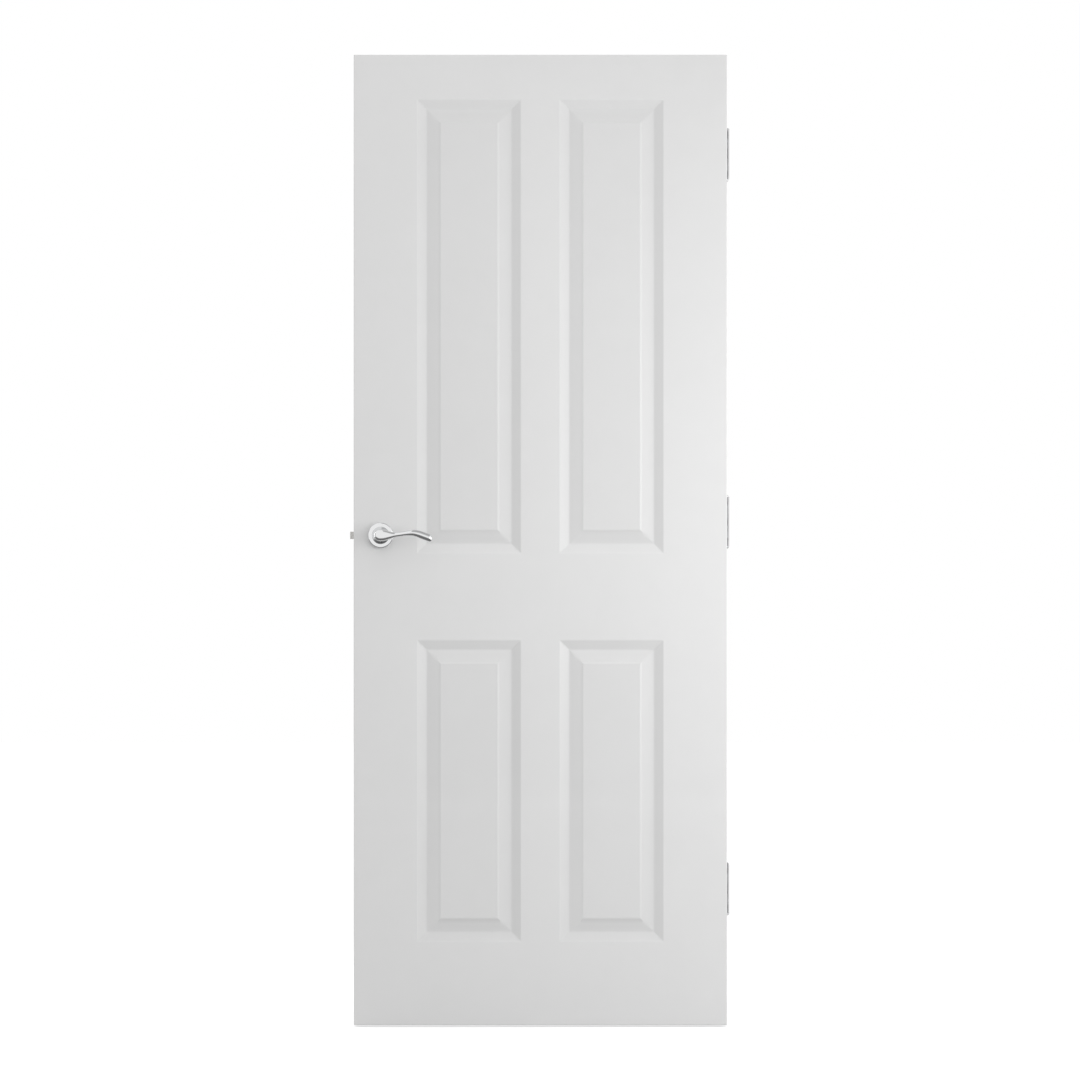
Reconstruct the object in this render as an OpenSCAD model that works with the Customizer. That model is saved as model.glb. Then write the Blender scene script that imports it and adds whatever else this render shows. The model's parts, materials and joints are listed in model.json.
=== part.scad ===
// Four-panel moulded door leaf with lever handles, a tubular latch and three butt hinges.
// X runs from the lock edge to the hinge edge, Y from the front face to the rear face, and Z up.
// The origin is the centre of the leaf's bottom edge.

/* [Leaf] */
// Width of the leaf
leaf_w = 762; // [720:1:838]
// Height of the leaf
leaf_h = 1981; // [1940:1:2060]
// Thickness of the leaf
leaf_t = 35; // [34:0.5:44]
// Thickness of each moulded skin
skin_t = 3.2; // [2.8:0.1:3.8]
// Bevel that eases the outer edges of the skins
edge_bevel = 1; // [0.5:0.1:1.5]

/* [Panels] */
// Flat face between each side edge and the panels
stile_face = 129.5; // [126:0.5:140]
// Flat face between the left and the right panels
muntin_face = 79; // [60:0.5:100]
// Flat face above the upper panels
top_face = 91.5; // [80:0.5:110]
// Flat face between the upper and the lower panels
lock_face = 177.5; // [150:0.5:200]
// Flat face below the lower panels
bottom_face = 171; // [150:0.5:200]
// Height of the lower panels over their mouldings
lower_panel_h = 615; // [560:1:660]
// Width of the cove round each panel
cove_w = 19.5; // [15:0.5:22]
// Depth of the cove below the face
cove_depth = 6.2; // [5.8:0.1:7.5]
// Slope at which the cove runs out into the bevel
cove_end_slope = 12; // [6:1:13]
// Width of the bevel between the cove and the raised field
bevel_w = 25; // [20:0.5:32]
// Height of the shoulder round the raised field
shoulder_h = 1.1; // [0.6:0.1:1.6]
// Width of the shoulder round the raised field
shoulder_w = 3.5; // [2:0.1:5]
// Drop of the raised field below the face
field_drop = 0.8; // [0.5:0.1:1.5]

/* [Inside the leaf] */
// Width of each edge stile
stile_w = 30; // [28:1:34]
// Height of the top rail
top_rail_h = 35; // [30:1:60]
// Height of the bottom rail
bottom_rail_h = 60; // [40:1:90]
// Width of the lock block
lock_block_w = 90; // [80:1:92]
// Height of the lock block
lock_block_h = 400; // [200:1:500]
// Cell of the honeycomb core, across its flats
core_cell = 84; // [70:1:120]
// Thickness of the honeycomb's card walls
core_wall = 1.2; // [1:0.1:3]

/* [Handle] */
// Height of the spindle above the bottom of the leaf
handle_z = 1000; // [950:1:1050]
// Distance of the spindle from the lock edge
backset = 55; // [53:0.5:60]
// Diameter of each rose
rose_d = 52; // [50:0.5:54]
// Height of each rose
rose_h = 9; // [8.5:0.1:11]
// Radius of the rounded edge of a rose
rose_rim_r = 3; // [2.5:0.1:3.5]
// Width of the ring round the dish of a rose
rose_ring_w = 11.5; // [9:0.5:12]
// Rise of that ring from its edge to the dish
rose_crown = 0.8; // [0.4:0.1:1.2]
// Wall of a rose cover
rose_wall = 1; // [0.8:0.1:1.2]
// Thickness of a rose base
base_t = 3.5; // [3:0.1:4]
// Distance between the two bolts through the roses
bolt_centres = 38; // [36:0.5:39]
// Length of a lever from the spindle to the tip
lever_l = 106; // [98:1:120]
// Distance of a lever's head from the face of the leaf
lever_out = 37; // [34:0.5:42]
// How much further out the arm lies than the head
arm_out = 5; // [3:0.5:7]
// How far the tip curls back towards the leaf
tip_back = 3; // [1:0.5:5]
// Radius of a lever's round head
head_r = 12.2; // [11:0.1:12.6]
// Radius of a lever's neck
neck_r = 9; // [8.5:0.1:9.5]
// Height of the arm at its waist
waist_h = 10; // [8:0.5:12]
// Height of the arm near its tip
blade_h = 16; // [13:0.5:17]
// Depth of the arm at its waist
waist_t = 11; // [9:0.5:13]
// Depth of the arm near its tip
blade_t = 9; // [7:0.5:11]
// Rise of the arm at its crest
crest_rise = 5; // [3:0.5:7]
// Fall from the crest to the end of the curve
tip_fall = 14; // [12:0.5:18]
// Side of the square spindle
spindle_w = 7.8; // [7.6:0.1:8]
// Turn of the handle, in degrees
handle_turn = 50; // [40:1:50]

/* [Latch] */
// Radius of the rounded latch case
case_r = 12.5; // [12.3:0.1:13]
// Thickness of the latch case across its flat sides
case_t = 17; // [16:0.5:19]
// Length of the latch case from the lock edge
case_l = 76; // [75:1:82]
// Wall of the latch case
case_wall = 1.2; // [1:0.1:1.3]
// Width of the forend
forend_w = 24; // [22:0.5:25]
// Height of the forend
forend_h = 57; // [54:1:64]
// Thickness of the forend
forend_t = 2.5; // [2:0.1:3]
// Thickness of the latch bolt
bolt_t = 11; // [9:0.5:12]
// Height of the latch bolt
bolt_h = 15; // [13:0.5:16]
// How far the latch bolt stands out of the lock edge
bolt_out = 8; // [7:0.5:8]
// Thickness of the follower's two arms
arm_t = 3; // [2.5:0.1:3.2]
// Length of the follower's arms from the spindle axis
arm_reach = 10.2; // [9.8:0.1:10.3]

/* [Hinges] */
// Height of a hinge
hinge_h = 102; // [90:1:110]
// Width of a hinge leaf from the pin to its far edge
hinge_w = 33.5; // [31:0.5:35]
// Thickness of a hinge leaf
hinge_t = 2.2; // [2:0.1:2.5]
// Gap between the two leaves of a closed hinge
hinge_gap = 3; // [2.4:0.1:3.4]
// Outer radius of the knuckles
knuckle_r = 4.7; // [4.5:0.1:4.9]
// Radius of a hinge pin
pin_r = 2.5; // [2.2:0.1:2.7]
// Distance of the pins behind the rear face
pin_out = 5.4; // [5.2:0.1:6]
// Distance from the top of the leaf to the top hinge
top_hinge_drop = 150; // [120:1:200]
// Distance from the bottom of the leaf to the bottom hinge
bottom_hinge_rise = 225; // [180:1:260]
// Distance between the outer holes of a hinge leaf
outer_hole_centres = 76; // [72:1:80]
// Distance between the inner holes of a hinge leaf
inner_hole_centres = 26; // [22:1:34]
// Radius of the screw holes in a hinge leaf
hinge_hole_r = 2.2; // [2:0.1:2.4]

/* [Hidden] */
$fn = 72;
// Overrun of every cut
over = 0.5;
// Gap round pieces that are let in and do not move
fit_gap = 0.2;
// Gap round a turning shaft
run_gap = 0.06;
// Gap between pieces that slide past each other
slide_gap = 0.3;

cavity_t = leaf_t - 2 * skin_t;
panel_w = (leaf_w - 2 * stile_face - muntin_face) / 2;
upper_panel_h = leaf_h - top_face - lock_face - bottom_face - lower_panel_h;
upper_panel_z = bottom_face + lower_panel_h + lock_face;
// Each panel's left edge, bottom edge and height
panels = [
    for (x = [-muntin_face / 2 - panel_w, muntin_face / 2])
        each [[x, bottom_face, lower_panel_h], [x, upper_panel_z, upper_panel_h]]
];

// The cove is an arc that leaves the face steeply and ends at cove_end_slope
cove_chord = norm([cove_w, cove_depth]);
cove_chord_slope = atan2(cove_depth, cove_w);
cove_r = cove_chord / (2 * sin(cove_chord_slope - cove_end_slope));
cove_centre = [cove_w + cove_r * sin(cove_end_slope), cove_depth - cove_r * cos(cove_end_slope)];
bevel_rise = cove_depth - field_drop - shoulder_h;
moulding_w = cove_w + bevel_w + shoulder_w;
cove_floor = 2 * cove_depth;
// The bevel is carried on past the cove by this share of its width, so that the two cross
bevel_root_share = 0.2;

lock_edge_x = -leaf_w / 2;
hinge_edge_x = leaf_w / 2;
spindle_x = lock_edge_x + backset;
spindle_hole_r = neck_r;
rose_r = rose_d / 2;
rim_steps = 16;
bush_wall = 1.2;
bush_r = neck_r + run_gap + bush_wall;
bush_proud = 0.4;
dish_r = bush_r + fit_gap;
dish_drop = 2.2;
dish_h = rose_h - dish_drop;
dish_side_w = 1.6;
clip_t = 1;
clip_from = 0.5;
clip_groove = 0.8;
clip_wall = 2;
clip_gap_share = 0.5;
base_recess = clip_from + clip_t + fit_gap;
base_r = rose_r - rose_wall - fit_gap;
neck_from = clip_from / 2;
socket_depth = 26;
socket_w = spindle_w + fit_gap;
spindle_l = leaf_t + 2 * (socket_depth - fit_gap);
grub_r = 2.5;
grub_out = 17;

through_bolt_r = 2;
through_head_r = 3.4;
through_head_h = 1.8;
sleeve_r = 3;
sleeve_back = 8;
bolt_hole_r = sleeve_r + fit_gap;

// Places along the lever, as shares of its length
head_from_share = 0.02;
waist_share = 0.33;
blade_from_share = 0.45;
blade_share = 0.82;
crest_from_share = 0.18;
crest_share = 0.65;
fall_from_share = 0.6;
fall_to_share = 1.12;
tip_r_share = 0.065;
lever_sides = 24;
head_rings = 8;
arm_rings = 16;
tip_rings = 5;
tip_r = lever_l * tip_r_share;

hub_r = 6.4;
arm_w = 3.2;
arm_lean = 22;
arm_corner = norm([arm_reach, arm_w / 2]);
// The arms' corners lean back by this angle at rest, and push the hooks with those corners alone
arm_corner_lean = arm_lean - atan2(arm_w / 2, arm_reach);
claw_share = 0.5;
claw_l = claw_share * arm_reach;
latch_travel = arm_corner * (sin(handle_turn - arm_corner_lean) + sin(arm_corner_lean));
bolt_head_l = 12;
bolt_nose_share = 0.25;
latch_spring_l = 18;
bulkhead_x = bolt_head_l + latch_spring_l;
tail_h = 6;
tail_t = 3;
strap_t = 1.2;
strap_in = arm_t / 2 + fit_gap;
yoke_play = 0.7;
yoke_h = 2 * (case_r - case_wall - yoke_play);
yoke_from = bulkhead_x + case_wall + slide_gap;
yoke_bridge = 1.5;
yoke_end = 2;
yoke_to = backset + hub_r + slide_gap + yoke_end;
hook_l = 4;
hook_gap = 0.5;
hook_x = backset - arm_corner * sin(arm_corner_lean) + hook_gap;
bore_spare = 3;
wire_r = 0.5;
latch_coil_r = 4.8;
latch_coil_turns = 7;
coil_steps = 14;
wire_sides = 6;
forend_screw_inset = 7;
forend_screw_centres = forend_h - 2 * forend_screw_inset;
forend_screw_l = 22;

hinge_zs = [
    leaf_h - top_hinge_drop - hinge_h,
    (leaf_h - top_hinge_drop + bottom_hinge_rise - hinge_h) / 2,
    bottom_hinge_rise
];
pin_x = hinge_edge_x + hinge_gap / 2;
pin_y = leaf_t / 2 + pin_out;
knuckle_count = 5;
knuckle_h = hinge_h / knuckle_count;
knuckle_gap = 0.4;
pin_tip_r = 3.8;
pin_tip_gap = 0.1;
outer_hole_edge = 8;
inner_hole_edge = 20;
// The frame's leaf has its wide and narrow rows of holes the other way round, so no screw faces another
door_leaf_holes = hole_places(outer_hole_centres, inner_hole_centres);
frame_leaf_holes = hole_places(inner_hole_centres, outer_hole_centres);
screw_r = 1.8;
screw_head_r = 3.5;
screw_l = 25;
screw_slot_w = 0.8;
screw_slot_depth = 1;
sink_depth = screw_head_r - screw_r;

paint = "whitesmoke";
timber = "burlywood";
card = "tan";
chrome = "silver";
steel = "lightgray";
nylon = "ivory";

// Points of an arc, from one angle to another
function arc(centre, r, from, to, steps) =
    [for (i = [0:steps]) let (a = from + (to - from) * i / steps) centre + r * [cos(a), sin(a)]];

// Smooth step from 0 to 1 as a place runs from one value to another
function ease(a, from, to) =
    let (t = min(1, max(0, (a - from) / (to - from)))) t * t * (3 - 2 * t);

// Places of a hinge leaf's holes, from the pin's axis and the bottom of the hinge
function hole_places(far_centres, near_centres) = [
    for (side = [-1, 1])
        each [
            [outer_hole_edge - hinge_w, (hinge_h + side * far_centres) / 2],
            [inner_hole_edge - hinge_w, (hinge_h + side * near_centres) / 2]
        ]
];

// Faces of a tube of rings, as [ring, side] walks over a list of points that starts at first
function tube_faces(rings, sides, first) = [
    for (i = [0:rings - 2], j = [0:sides - 1])
        let (k = (j + 1) % sides, a = first + i * sides, b = a + sides)
            each [[a + j, a + k, b + k], [a + j, b + k, b + j]]
];

// Puts a 2D section with its X along Y and its Y along Z, and runs it along X
module along_x(length) {
    rotate([90, 0, 90]) linear_extrude(length) children();
}

// Runs sections up a rectangle and across it, and keeps what both share, so the corners mitre
module mitred(w, h) {
    intersection() {
        translate([0, 0, -over]) linear_extrude(h + 2 * over) children(0);
        translate([w + over, 0, 0]) rotate([0, -90, 0]) linear_extrude(w + 2 * over) children(1);
    }
}

// Section across a panel's pocket: a cove up each side, and room between them for the raised field
module pocket_section(w) {
    field_from = cove_w + bevel_root_share * bevel_w;
    for (side = [0, 1])
        translate([side * w, 0]) mirror([side, 0]) intersection() {
            translate(cove_centre) circle(r = cove_r);
            translate([0, -over]) square([w / 2, cove_floor]);
        }
    translate([field_from, -over]) square([w - 2 * field_from, cove_floor]);
}

// Section across a panel's raised field: bevels up from the coves, shoulders and a flat
module field_section(w) {
    root = bevel_root_share * bevel_w;
    bevel_side = [
        [cove_w - root, 2 * cove_floor],
        [cove_w - root, cove_depth + bevel_root_share * bevel_rise],
        [cove_w + bevel_w, field_drop + shoulder_h],
        [moulding_w, field_drop]
    ];
    other_side = [for (i = [len(bevel_side) - 1:-1:0]) [w - bevel_side[i].x, bevel_side[i].y]];
    polygon(concat(bevel_side, other_side));
}

// The space between the plane of the face and a panel's moulded surface
module panel_hollow(h) {
    difference() {
        mitred(panel_w, h) {
            pocket_section(panel_w);
            pocket_section(h);
        }
        mitred(panel_w, h) {
            field_section(panel_w);
            field_section(h);
        }
    }
}

module panel_hollows(depth) {
    for (p = panels)
        translate([p[0], depth - leaf_t / 2, p[1]]) panel_hollow(p[2]);
}

module eased_section(w) {
    polygon([
        [0, skin_t], [0, edge_bevel], [edge_bevel, 0],
        [w - edge_bevel, 0], [w, edge_bevel], [w, skin_t]
    ]);
}

// A pressed sheet of even thickness: the flat sheet and the hollows' undersides, less the hollows
module moulded_skin() {
    difference() {
        union() {
            translate([-leaf_w / 2, -leaf_t / 2, 0]) mitred(leaf_w, leaf_h) {
                eased_section(leaf_w);
                eased_section(leaf_h);
            }
            panel_hollows(skin_t);
        }
        panel_hollows(0);
        handle_holes();
    }
}

// Holes through the leaf for the spindle and for the bolts between the roses
module handle_holes() {
    translate([spindle_x, -leaf_t / 2 - over, handle_z]) rotate([-90, 0, 0]) {
        cylinder(r = spindle_hole_r, h = leaf_t + 2 * over);
        for (side = [-1, 1])
            translate([0, side * bolt_centres / 2, 0]) cylinder(r = bolt_hole_r, h = leaf_t + 2 * over);
    }
}

module framing(x, z, w, h) {
    translate([x, -cavity_t / 2, z]) cube([w, cavity_t, h]);
}

module front_skin() {
    color(paint) moulded_skin();
}

module rear_skin() {
    color(paint) difference() {
        mirror([0, 1, 0]) moulded_skin();
        hinge_recesses();
    }
}

module lock_stile() {
    color(timber) difference() {
        framing(lock_edge_x, 0, stile_w, leaf_h);
        latch_bore();
        at_lock_edge() {
            translate([-over, -forend_w / 2 - fit_gap, -forend_h / 2 - fit_gap])
                cube([forend_t + over, forend_w + 2 * fit_gap, forend_h + 2 * fit_gap]);
            forend_screw_places() cylinder(r = screw_r + run_gap, h = forend_screw_l + fit_gap);
        }
    }
}

module hinge_stile() {
    color(timber) difference() {
        framing(hinge_edge_x - stile_w, 0, stile_w, leaf_h);
        hinge_recesses();
        hinge_screw_places() cylinder(r = screw_r + run_gap, h = screw_l + fit_gap);
    }
}

module top_rail() {
    color(timber) framing(lock_edge_x + stile_w, leaf_h - top_rail_h, leaf_w - 2 * stile_w, top_rail_h);
}

module bottom_rail() {
    color(timber) framing(lock_edge_x + stile_w, 0, leaf_w - 2 * stile_w, bottom_rail_h);
}

module lock_block() {
    color(timber) difference() {
        framing(lock_edge_x + stile_w, handle_z - lock_block_h / 2, lock_block_w, lock_block_h);
        latch_bore();
        handle_holes();
    }
}

// Hexagonal cells between the stiles and rails, pressed flat where the panels' mouldings reach inside
module honeycomb_core() {
    core_x = lock_edge_x + stile_w;
    core_w = leaf_w - 2 * stile_w;
    core_h = leaf_h - top_rail_h - bottom_rail_h;
    core_t = cavity_t - 2 * slide_gap;
    row_h = core_cell * sqrt(3) / 2;
    rows = ceil(core_h / row_h);
    row_cells = ceil(core_w / core_cell);
    color(card) difference() {
        translate([core_x, core_t / 2, bottom_rail_h]) rotate([90, 0, 0]) linear_extrude(core_t)
            difference() {
                square([core_w, core_h]);
                for (row = [0:rows], i = [0:row_cells])
                    translate([(i + row % 2 / 2) * core_cell, row * row_h])
                        rotate(90) circle(r = (core_cell - core_wall) / sqrt(3), $fn = 6);
            }
        framing(core_x - over, handle_z - lock_block_h / 2, lock_block_w + over, lock_block_h);
        for (side = [0, 1], p = panels)
            mirror([0, side, 0]) translate([p[0], -cavity_t / 2, p[1]]) moulding_press(p[2]);
    }
}

// The room that a panel takes up inside the leaf: a deep band under its moulding round a shallow field
module moulding_press(h) {
    field = [panel_w - 2 * moulding_w, h - 2 * moulding_w];
    difference() {
        cube([panel_w, cove_depth + slide_gap, h]);
        translate([moulding_w, field_drop + slide_gap, moulding_w]) cube([field.x, cove_depth, field.y]);
    }
}

module at_lock_edge() {
    translate([lock_edge_x, 0, handle_z]) children();
}

module latch_bore() {
    at_lock_edge() translate([-over, 0, 0]) rotate([0, 90, 0])
        cylinder(r = case_r + fit_gap, h = case_l + bore_spare + over);
}

// Round bar with two flat sides
module case_section(inset) {
    intersection() {
        circle(r = case_r - inset);
        square([case_t - 2 * inset, 2 * case_r], center = true);
    }
}

module latch_case() {
    back_from = bulkhead_x + case_wall;
    color(steel) at_lock_edge() difference() {
        translate([forend_t, 0, 0]) along_x(case_l - forend_t) case_section(0);
        translate([forend_t - over, 0, 0]) along_x(bulkhead_x - forend_t + over) case_section(case_wall);
        translate([back_from, 0, 0]) along_x(case_l - case_wall - back_from) case_section(case_wall);
        translate([bulkhead_x - over, -tail_t / 2 - slide_gap, -tail_h / 2 - slide_gap])
            cube([case_wall + 2 * over, tail_t + 2 * slide_gap, tail_h + 2 * slide_gap]);
        translate([backset, 0, 0]) rotate([90, 0, 0])
            cylinder(r = hub_r + run_gap, h = case_t + 2 * over, center = true);
    }
}

module latch_forend() {
    color(steel) at_lock_edge() difference() {
        translate([0, -forend_w / 2, -forend_h / 2]) cube([forend_t, forend_w, forend_h]);
        translate([-over, -bolt_t / 2 - slide_gap, -bolt_h / 2 - slide_gap])
            cube([forend_t + 2 * over, bolt_t + 2 * slide_gap, bolt_h + 2 * slide_gap]);
        forend_screw_places() {
            screw_sink();
            translate([0, 0, -over]) cylinder(r = screw_r + fit_gap, h = forend_t + 2 * over);
        }
    }
}

module forend_screw_places() {
    for (side = [-1, 1])
        translate([0, 0, side * forend_screw_centres / 2]) rotate([0, 90, 0]) children();
}

module forend_screws() {
    color(steel) at_lock_edge() forend_screw_places() countersunk_screw(forend_screw_l);
}

// Countersink for a screw head, with its mouth at Z 0 and a little room round the head
module screw_sink() {
    translate([0, 0, -over])
        cylinder(
            r1 = screw_head_r + fit_gap + over,
            r2 = screw_r + fit_gap,
            h = sink_depth + over
        );
}

// Countersunk wood screw with a cross recess, its head at Z 0 and its shank along Z
module countersunk_screw(length) {
    difference() {
        union() {
            cylinder(r1 = screw_head_r, r2 = screw_r, h = sink_depth);
            translate([0, 0, sink_depth]) cylinder(r = screw_r, h = length - sink_depth);
        }
        for (turn = [0, 90])
            rotate(turn) translate([-screw_r, -screw_slot_w / 2, -over])
                cube([2 * screw_r, screw_slot_w, screw_slot_depth + over]);
    }
}

// Bevelled bolt, its tail through the bulkhead, and a yoke of two straps that hook the follower's arms
module latch_bolt() {
    nose = bolt_nose_share * bolt_t;
    color(chrome) at_lock_edge() {
        linear_extrude(bolt_h, center = true) polygon([
            [-bolt_out, bolt_t / 2], [-bolt_out, bolt_t / 2 - nose], [0, -bolt_t / 2],
            [bolt_head_l, -bolt_t / 2], [bolt_head_l, bolt_t / 2]
        ]);
        translate([bolt_head_l - over, -tail_t / 2, -tail_h / 2])
            cube([yoke_from - bolt_head_l + 2 * over, tail_t, tail_h]);
        translate([yoke_from, -strap_in - over, -yoke_h / 2])
            cube([yoke_bridge, 2 * (strap_in + over), yoke_h]);
        for (side = [-1, 1]) {
            translate([0, side * (strap_in + strap_t / 2), 0]) yoke_strap();
            hook_at = side > 0 ? hub_r + slide_gap : -yoke_h / 2;
            translate([hook_x, -strap_in - over, hook_at])
                cube([hook_l, 2 * (strap_in + over), yoke_h / 2 - hub_r - slide_gap]);
        }
    }
}

// One side of the yoke, with a slot that clears the follower's hub over the whole travel
module yoke_strap() {
    slot_from = backset - hub_r - slide_gap - latch_travel;
    slot_h = 2 * (hub_r + slide_gap);
    difference() {
        translate([yoke_from, -strap_t / 2, -yoke_h / 2]) cube([yoke_to - yoke_from, strap_t, yoke_h]);
        translate([slot_from, -strap_t / 2 - over, -slot_h / 2])
            cube([backset + hub_r + slide_gap - slot_from, strap_t + 2 * over, slot_h]);
    }
}

// Coil round the bolt's tail, swept as rings of wire along a helix
module latch_spring() {
    rings = latch_coil_turns * coil_steps + 1;
    run = latch_spring_l - 2 * (wire_r + run_gap);
    points = [
        for (i = [0:rings - 1], j = [0:wire_sides - 1])
            let (
                turn = 360 * i / coil_steps,
                x = bolt_head_l + run_gap + wire_r + run * i / (rings - 1),
                r = latch_coil_r + wire_r * cos(360 * j / wire_sides)
            ) [x + wire_r * sin(360 * j / wire_sides), r * cos(turn), r * sin(turn)]
    ];
    start_cap = [for (j = [wire_sides - 1:-1:0]) j];
    end_cap = [for (j = [0:wire_sides - 1]) (rings - 1) * wire_sides + j];
    color(steel) at_lock_edge()
        polyhedron(points, concat([start_cap], tube_faces(rings, wire_sides, 0), [end_cap]));
}

// Hub on the spindle with two claws that lean towards the bolt, upright on the side that pulls
module latch_follower() {
    root = claw_l * sin(arm_lean) - arm_w / 2;
    color(steel) translate([spindle_x, 0, handle_z]) rotate([90, 0, 0]) difference() {
        union() {
            cylinder(r = hub_r, h = case_t, center = true);
            for (side = [0, 1])
                mirror([0, side, 0]) rotate(90 + arm_lean) linear_extrude(arm_t, center = true)
                    polygon([
                        [0, arm_w / 2], [arm_reach, arm_w / 2], [arm_reach, -arm_w / 2],
                        [arm_reach - claw_l * cos(arm_lean), root], [0, root]
                    ]);
        }
        cube([socket_w, socket_w, case_t + 2 * over], center = true);
    }
}

// Handle pieces are drawn with Z out of the front face, X along the lever and Y up
module front_side() {
    translate([spindle_x, -leaf_t / 2, handle_z]) rotate([90, 0, 0]) children();
}

module rear_side() {
    mirror([0, 1, 0]) front_side() children();
}

module spindle() {
    color(steel) translate([spindle_x, 0, handle_z]) cube([spindle_w, spindle_l, spindle_w], center = true);
}

// How far the arm's middle line rises at a place along the lever
function lever_rise(a) =
    crest_rise * ease(a, crest_from_share * lever_l, crest_share * lever_l)
    - tip_fall * ease(a, fall_from_share * lever_l, fall_to_share * lever_l);

// How far the arm's middle line lies from the face of the leaf
function lever_reach_out(a) =
    lever_out + arm_out * ease(a, 0, waist_share * lever_l)
    - tip_back * ease(a, crest_share * lever_l, lever_l);

// Half of the lever's size at a place, from its head, waist and blade sizes
function lever_half(a, waist, blade) =
    head_r + (waist / 2 - head_r) * ease(a, head_from_share * lever_l, waist_share * lever_l)
    + (blade - waist) / 2 * ease(a, blade_from_share * lever_l, blade_share * lever_l);

// Rounds the head to a ball and the tip to a soft end
function lever_end(a) =
    a < 0 ? sqrt(max(0, 1 - pow(a / head_r, 2)))
    : a > lever_l - tip_r ? sqrt(max(0, 1 - pow((a - lever_l + tip_r) / tip_r, 2)))
    : 1;

// A loft of ellipses along the lever: a ball head that narrows to a waist, broadens and curls down
module lever_form() {
    places = concat(
        [for (i = [1:head_rings]) -head_r * cos(90 * i / head_rings)],
        [for (i = [1:arm_rings]) (lever_l - tip_r) * i / arm_rings],
        [for (i = [1:tip_rings - 1]) lever_l - tip_r + tip_r * sin(90 * i / tip_rings)]
    );
    rings = len(places);
    points = [
        [-head_r, 0, lever_out],
        for (a = places, j = [0:lever_sides - 1])
            let (turn = 360 * j / lever_sides) [
                a,
                lever_rise(a) + lever_end(a) * lever_half(a, waist_h, blade_h) * sin(turn),
                lever_reach_out(a) + lever_end(a) * lever_half(a, waist_t, blade_t) * cos(turn)
            ],
        [lever_l, lever_rise(lever_l), lever_reach_out(lever_l)]
    ];
    last = len(points) - 1;
    head_fan = [for (j = [0:lever_sides - 1]) [0, 1 + (j + 1) % lever_sides, 1 + j]];
    tip_fan = [
        for (j = [0:lever_sides - 1])
            [last, last - lever_sides + j, last - lever_sides + (j + 1) % lever_sides]
    ];
    polyhedron(points, concat(head_fan, tube_faces(rings, lever_sides, 1), tip_fan));
}

module lever() {
    difference() {
        union() {
            translate([0, 0, neck_from]) cylinder(r = neck_r, h = lever_out - neck_from);
            lever_form();
        }
        translate([-socket_w / 2, -socket_w / 2, neck_from - over])
            cube([socket_w, socket_w, socket_depth - neck_from + over]);
        translate([0, 0, clip_from]) difference() {
            cylinder(r = neck_r + over, h = clip_t);
            cylinder(r = neck_r - clip_groove, h = clip_t);
        }
        translate([0, 0, grub_out]) rotate([90, 0, 0]) cylinder(r = grub_r, h = neck_r + over);
    }
}

module lever_clip() {
    inner = neck_r - clip_groove + run_gap;
    outer = inner + clip_wall;
    slot = clip_gap_share * outer;
    translate([0, 0, clip_from + run_gap]) difference() {
        cylinder(r = outer, h = clip_t - 2 * run_gap);
        translate([0, 0, -over]) cylinder(r = inner, h = clip_t + 2 * over);
        translate([-slot / 2, 0, -over]) cube([slot, outer + over, clip_t + 2 * over]);
    }
}

module grub_screw() {
    from = spindle_w / 2 + run_gap;
    translate([0, -from, grub_out]) rotate([90, 0, 0])
        difference() {
            cylinder(r = grub_r - run_gap, h = neck_r - from - clip_groove);
            translate([0, 0, neck_r - from - clip_groove - grub_r / 2])
                cylinder(r = grub_r / 2, h = grub_r, $fn = 6);
        }
}

module neck_bush() {
    translate([0, 0, base_recess]) difference() {
        cylinder(r = bush_r, h = dish_h + bush_proud - base_recess);
        translate([0, 0, -over]) cylinder(r = neck_r + run_gap, h = rose_h);
    }
}

// Round plate under a rose cover, with a recess for the lever's clip
module rose_base(hole_r) {
    difference() {
        cylinder(r = base_r, h = base_t);
        translate([0, 0, -over]) cylinder(r = bush_r + run_gap, h = base_t + 2 * over);
        translate([0, 0, -over]) cylinder(r = neck_r - clip_groove + clip_wall + 2 * slide_gap,
            h = base_recess + over);
        for (side = [-1, 1])
            translate([0, side * bolt_centres / 2, -over]) cylinder(r = hole_r, h = base_t + 2 * over);
    }
}

// Turned cover: a rounded edge, a slightly crowned ring and a dish round the lever's neck, of even wall
module rose_cover() {
    rim = [rose_r - rose_rim_r, rose_h - rose_crown - rose_rim_r];
    rim_to_deg = 90 - atan2(rose_crown, rose_ring_w - rose_rim_r);
    ring_in = rose_r - rose_ring_w;
    dish_out = ring_in - dish_side_w;
    rotate_extrude() polygon(concat(
        [[rose_r, 0]],
        arc(rim, rose_rim_r, 0, rim_to_deg, rim_steps),
        [[ring_in, rose_h], [dish_out, dish_h], [dish_r, dish_h], [dish_r, dish_h - rose_wall]],
        [[dish_out + rose_wall / 2, dish_h - rose_wall], [ring_in + rose_wall / 2, rose_h - rose_wall]],
        arc(rim, rose_rim_r - rose_wall, rim_to_deg, 0, rim_steps),
        [[rose_r - rose_wall, 0]]
    ));
}

module bolt_places() {
    for (side = [-1, 1])
        translate([0, side * bolt_centres / 2, 0]) children();
}

module rose_bolts() {
    shank = leaf_t - sleeve_back + base_t;
    color(steel) front_side() bolt_places() {
        translate([0, 0, base_t]) cylinder(r = through_head_r, h = through_head_h);
        translate([0, 0, base_t - shank]) cylinder(r = through_bolt_r, h = shank + over);
    }
}

module rose_bolt_sleeves() {
    tube = leaf_t - sleeve_back + base_t;
    color(steel) rear_side() bolt_places() difference() {
        union() {
            translate([0, 0, base_t]) cylinder(r = through_head_r + fit_gap, h = through_head_h);
            translate([0, 0, base_t - tube]) cylinder(r = sleeve_r, h = tube + over);
        }
        translate([0, 0, base_t - tube - over]) cylinder(r = through_bolt_r + run_gap, h = tube + over);
    }
}

module front_lever() {
    color(chrome) front_side() lever();
}

module rear_lever() {
    color(chrome) rear_side() lever();
}

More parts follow.
